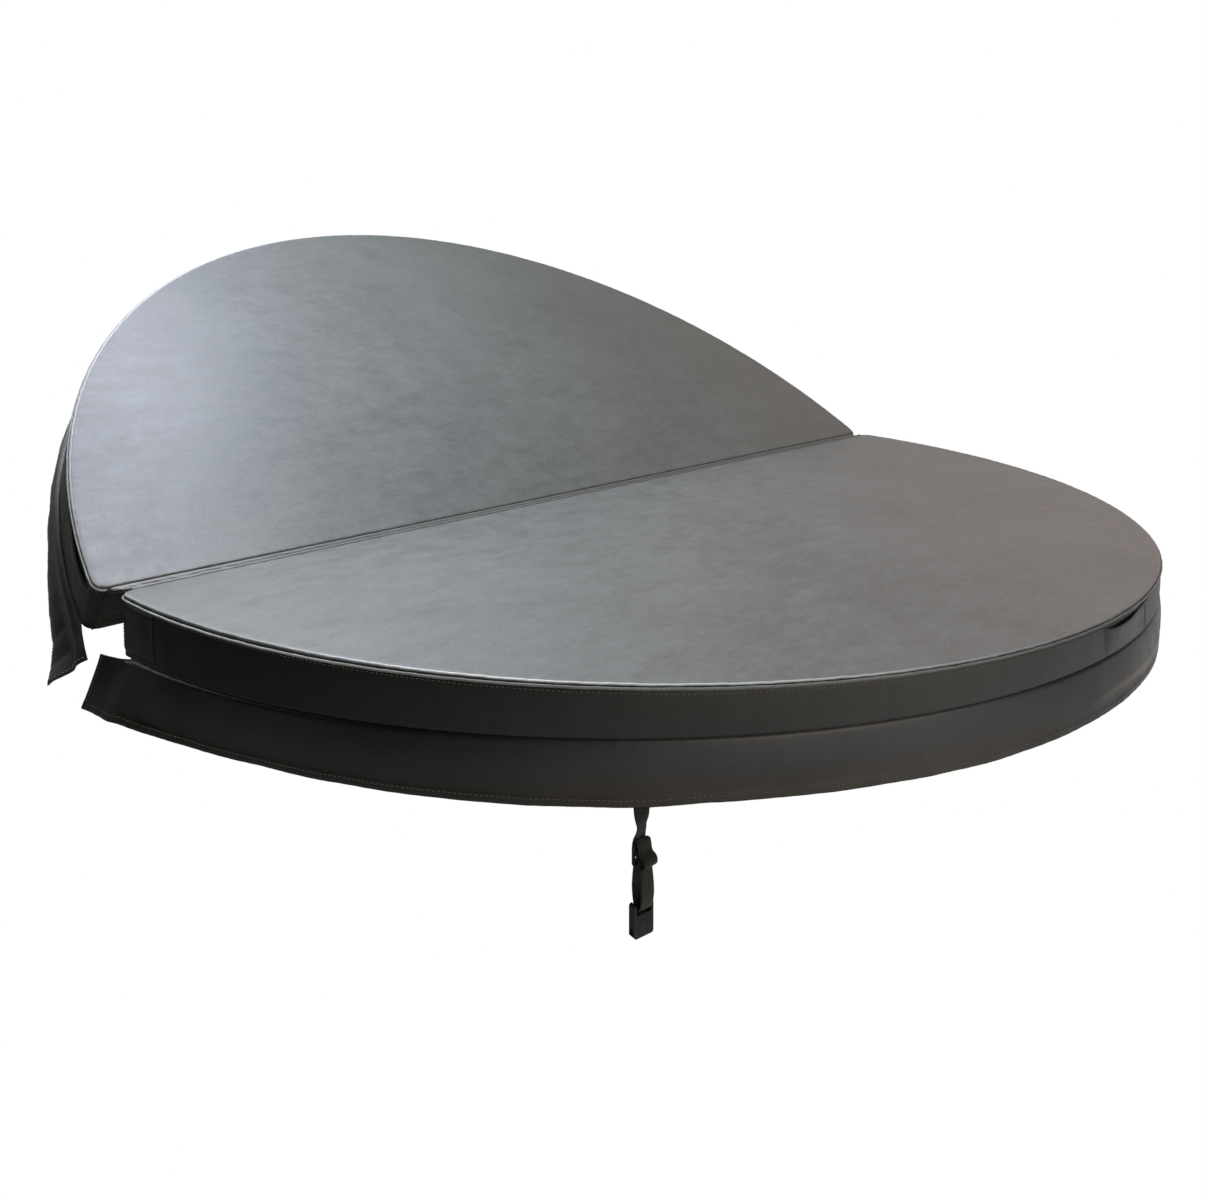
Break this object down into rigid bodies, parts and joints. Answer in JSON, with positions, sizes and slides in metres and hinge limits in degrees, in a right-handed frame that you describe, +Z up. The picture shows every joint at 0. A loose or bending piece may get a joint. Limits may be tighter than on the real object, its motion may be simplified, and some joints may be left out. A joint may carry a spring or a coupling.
{
  "type": "spa cover",
  "caption": "Round folding insulated spa cover in grain vinyl, two tapered foam halves on a fold seam, with skirt, grab handles, zippers and adjustable lock straps.",
  "frame": {"origin": "centre of the front half's arc, on the plane the flat front half rests on, 12 mm from the fold line", "axes": "+Z up out of the front half's top, +X along the fold line, front half towards -Y, rear half towards +Y, lifted 35.7 degrees at rest"},
  "size_m": [2.2378, 2.0734, 0.9349],
  "materials": {
    "grey_vinyl_top": "leather grain, satin",
    "black_vinyl_band": "leather grain, satin",
    "skirt_vinyl": "smooth, semi-gloss",
    "liner_vinyl": "smooth, matt",
    "piping_vinyl": "smooth, satin",
    "foam": "beaded, matt",
    "film": "translucent film",
    "galvanised_steel": "galvanised",
    "seal_fabric": "quilted, matt",
    "zipper_tape": "woven",
    "zipper_coil": "ribbed",
    "zipper_metal": "black lacquer",
    "webbing": "woven",
    "strap_plastic": "moulded, fine texture",
    "lock_metal": "dulled"
  },
  "bodies": {
    "front_half": {"front_foam_core": "foam", "front_stiffener_channel": "galvanised_steel", "front_vapour_barrier": "film", "front_top_sheet": "grey_vinyl_top", "front_side_band": "black_vinyl_band", "front_bottom_liner": "liner_vinyl", "front_fold_wall": "liner_vinyl", "front_zipper_tapes": "zipper_tape", "front_zipper_coil": "zipper_coil", "front_piping": "piping_vinyl", "front_skirt": "skirt_vinyl", "front_hinge_strip": "grey_vinyl_top", "front_corner_patches": "black_vinyl_band", "front_strap_anchors": "webbing", "front_handle": "black_vinyl_band", "fold_seal_pad": "seal_fabric"},
    "rear_half": {"rear_foam_core": "foam", "rear_stiffener_channel": "galvanised_steel", "rear_vapour_barrier": "film", "rear_top_sheet": "grey_vinyl_top", "rear_side_band": "black_vinyl_band", "rear_bottom_liner": "liner_vinyl", "rear_fold_wall": "liner_vinyl", "rear_zipper_tapes": "zipper_tape", "rear_zipper_coil": "zipper_coil", "rear_piping": "piping_vinyl", "rear_skirt": "skirt_vinyl", "rear_hinge_strip": "grey_vinyl_top", "rear_strap_anchors": "webbing", "rear_left_handle": "black_vinyl_band", "rear_right_handle": "black_vinyl_band"},
    "front_zip_slider": {"front_zipper_slider": "zipper_metal"},
    "front_zip_pull": {"front_zipper_pull": "zipper_metal"},
    "rear_zip_slider": {"rear_zipper_slider": "zipper_metal"},
    "rear_zip_pull": {"rear_zipper_pull": "zipper_metal"},
    "front_left_strap": {"front_left_strap_webbing": "webbing"},
    "front_left_adjuster": {"front_left_strap_adjuster": "strap_plastic"},
    "front_left_buckle": {"front_left_strap_buckle": "strap_plastic"},
    "front_left_lock": {"front_left_strap_lock_barrel": "lock_metal"},
    "front_right_strap": {"front_right_strap_webbing": "webbing"},
    "front_right_adjuster": {"front_right_strap_adjuster": "strap_plastic"},
    "front_right_buckle": {"front_right_strap_buckle": "strap_plastic"},
    "front_right_lock": {"front_right_strap_lock_barrel": "lock_metal"},
    "rear_left_strap": {"rear_left_strap_webbing": "webbing"},
    "rear_left_adjuster": {"rear_left_strap_adjuster": "strap_plastic"},
    "rear_left_buckle": {"rear_left_strap_buckle": "strap_plastic"},
    "rear_left_lock": {"rear_left_strap_lock_barrel": "lock_metal"},
    "rear_right_strap": {"rear_right_strap_webbing": "webbing"},
    "rear_right_adjuster": {"rear_right_strap_adjuster": "strap_plastic"},
    "rear_right_buckle": {"rear_right_strap_buckle": "strap_plastic"},
    "rear_right_lock": {"rear_right_strap_lock_barrel": "lock_metal"}
  },
  "joints": [
    {"name": "fold", "type": "hinge", "parent": "front_half", "child": "rear_half", "pos_m": [0, 0.0123, 0.095], "axis": [1, 0, 0], "range_deg": [-35.7, 146.3], "stiffness_Nm_per_rad": 250, "springref_deg": 10.71},
    {"name": "front_zip_travel", "type": "slide", "parent": "front_half", "child": "front_zip_slider", "axis": [1, 0, 0], "range_m": [0, 1.888]},
    {"name": "front_zip_pull_flip", "type": "hinge", "parent": "front_zip_slider", "child": "front_zip_pull", "pos_m": [-0.944, 0.0082, 0.019], "axis": [0, 0, 1], "range_deg": [0, 180]},
    {"name": "rear_zip_travel", "type": "slide", "parent": "rear_half", "child": "rear_zip_slider", "axis": [1, 0, 0], "range_m": [0, 1.888]},
    {"name": "rear_zip_pull_flip", "type": "hinge", "parent": "rear_zip_slider", "child": "rear_zip_pull", "pos_m": [-0.972, 0.05998, 0.03567], "axis": [0, 0.5835, -0.8121], "range_deg": [0, 180]},
    {"name": "front_left_strap_swing", "type": "hinge", "parent": "front_half", "child": "front_left_strap", "pos_m": [-0.77768, -0.75308, -0.087], "axis": [-0.7071, 0.7071, 0], "range_deg": [-30, 150]},
    {"name": "front_left_adjust", "type": "slide", "parent": "front_left_strap", "child": "front_left_adjuster", "axis": [0, 0, -1], "range_m": [-0.032, 0.08], "deforming": ["front_left_strap_webbing"]},
    {"name": "front_left_take_up", "type": "slide", "parent": "front_left_adjuster", "child": "front_left_buckle", "axis": [0, 0, -1], "range_m": [-0.041, 0.017]},
    {"name": "front_left_lock_turn", "type": "hinge", "parent": "front_left_buckle", "child": "front_left_lock", "pos_m": [-0.77768, -0.75308, -0.2255], "axis": [-0.1736, -0.9848, 0], "range_deg": [0, 90]},
    {"name": "front_right_strap_swing", "type": "hinge", "parent": "front_half", "child": "front_right_strap", "pos_m": [0.77768, -0.75308, -0.087], "axis": [-0.7071, -0.7071, 0], "range_deg": [-30, 150]},
    {"name": "front_right_adjust", "type": "slide", "parent": "front_right_strap", "child": "front_right_adjuster", "axis": [0, 0, -1], "range_m": [-0.032, 0.08], "deforming": ["front_right_strap_webbing"]},
    {"name": "front_right_take_up", "type": "slide", "parent": "front_right_adjuster", "child": "front_right_buckle", "axis": [0, 0, -1], "range_m": [-0.041, 0.017]},
    {"name": "front_right_lock_turn", "type": "hinge", "parent": "front_right_buckle", "child": "front_right_lock", "pos_m": [0.77768, -0.75308, -0.2255], "axis": [0.7071, -0.7071, 0], "range_deg": [0, 90]},
    {"name": "rear_left_strap_swing", "type": "hinge", "parent": "rear_half", "child": "rear_left_strap", "pos_m": [-0.80568, 0.72154, 0.38053], "axis": [0.7071, 0.5742, 0.4126], "range_deg": [-20, 150]},
    {"name": "rear_left_adjust", "type": "slide", "parent": "rear_left_strap", "child": "rear_left_adjuster", "axis": [0.321, 0.2592, -0.9109], "range_m": [-0.032, 0.08], "deforming": ["rear_left_strap_webbing"]},
    {"name": "rear_left_take_up", "type": "slide", "parent": "rear_left_adjuster", "child": "rear_left_buckle", "axis": [0.321, 0.2592, -0.9109], "range_m": [-0.041, 0.017]},
    {"name": "rear_left_lock_turn", "type": "hinge", "parent": "rear_left_buckle", "child": "rear_left_lock", "pos_m": [-0.76121, 0.75744, 0.25437], "axis": [-0.63, 0.7766, -0.001], "range_deg": [0, 90]},
    {"name": "rear_right_strap_swing", "type": "hinge", "parent": "rear_half", "child": "rear_right_strap", "pos_m": [0.74968, 0.72154, 0.38053], "axis": [0.7071, -0.5742, -0.4126], "range_deg": [-20, 150]},
    {"name": "rear_right_adjust", "type": "slide", "parent": "rear_right_strap", "child": "rear_right_adjuster", "axis": [-0.321, 0.2592, -0.9109], "range_m": [-0.032, 0.08], "deforming": ["rear_right_strap_webbing"]},
    {"name": "rear_right_take_up", "type": "slide", "parent": "rear_right_adjuster", "child": "rear_right_buckle", "axis": [-0.321, 0.2592, -0.9109], "range_m": [-0.041, 0.017]},
    {"name": "rear_right_lock_turn", "type": "hinge", "parent": "rear_right_buckle", "child": "rear_right_lock", "pos_m": [0.70522, 0.75744, 0.25437], "axis": [0.63, 0.7766, -0.001], "range_deg": [0, 90]}
  ],
  "couplings": [
    {"joint": "front_left_take_up", "follows": "front_left_adjust", "ratio": -0.5},
    {"joint": "front_right_take_up", "follows": "front_right_adjust", "ratio": -0.5},
    {"joint": "rear_left_take_up", "follows": "rear_left_adjust", "ratio": -0.5},
    {"joint": "rear_right_take_up", "follows": "rear_right_adjust", "ratio": -0.5}
  ]
}
